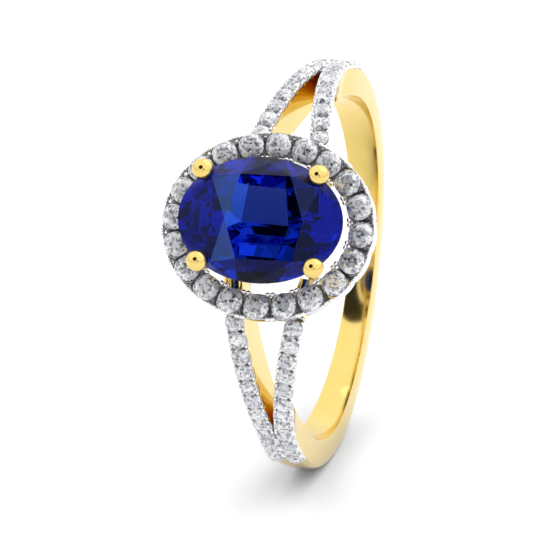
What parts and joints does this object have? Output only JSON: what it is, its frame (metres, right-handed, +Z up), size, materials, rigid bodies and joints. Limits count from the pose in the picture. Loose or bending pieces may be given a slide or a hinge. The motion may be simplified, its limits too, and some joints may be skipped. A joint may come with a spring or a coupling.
{
  "type": "engagement ring",
  "caption": "Split-shoulder engagement ring in yellow and white metal: a claw-set oval blue stone in an oval halo of small round stones, with stone-set shoulders.",
  "frame": {"origin": "centre of the finger hole, midway across the band", "axes": "+X along the finger, +Z up with the ring standing on its band, the head facing -Y and tipped 31 degrees above the horizontal"},
  "size_m": [0.0103, 0.0224, 0.0203],
  "materials": {
    "yellow_gold": "polished yellow gold",
    "white_gold": "polished white gold",
    "diamond": "faceted colourless stone",
    "sapphire": "faceted blue stone"
  },
  "bodies": {
    "root": {"shank": "yellow_gold", "gallery": "yellow_gold", "halo_plate": "white_gold", "pave_plate_upper": "white_gold", "pave_plate_lower": "white_gold", "diamonds_upper_left": "diamond", "diamonds_upper_right": "diamond", "diamonds_lower_left": "diamond", "diamonds_lower_right": "diamond", "sapphire": "sapphire", "claw_upper_left": "yellow_gold", "claw_upper_right": "yellow_gold", "claw_lower_left": "yellow_gold", "claw_lower_right": "yellow_gold", "halo_diamond_01": "diamond", "halo_diamond_02": "diamond", "halo_diamond_03": "diamond", "halo_diamond_04": "diamond", "halo_diamond_05": "diamond", "halo_diamond_06": "diamond", "halo_diamond_07": "diamond", "halo_diamond_08": "diamond", "halo_diamond_09": "diamond", "halo_diamond_10": "diamond", "halo_diamond_11": "diamond", "halo_diamond_12": "diamond", "halo_diamond_13": "diamond", "halo_diamond_14": "diamond", "halo_diamond_15": "diamond", "halo_diamond_16": "diamond", "halo_diamond_17": "diamond", "halo_diamond_18": "diamond", "halo_diamond_19": "diamond", "halo_diamond_20": "diamond"}
  },
  "joints": []
}
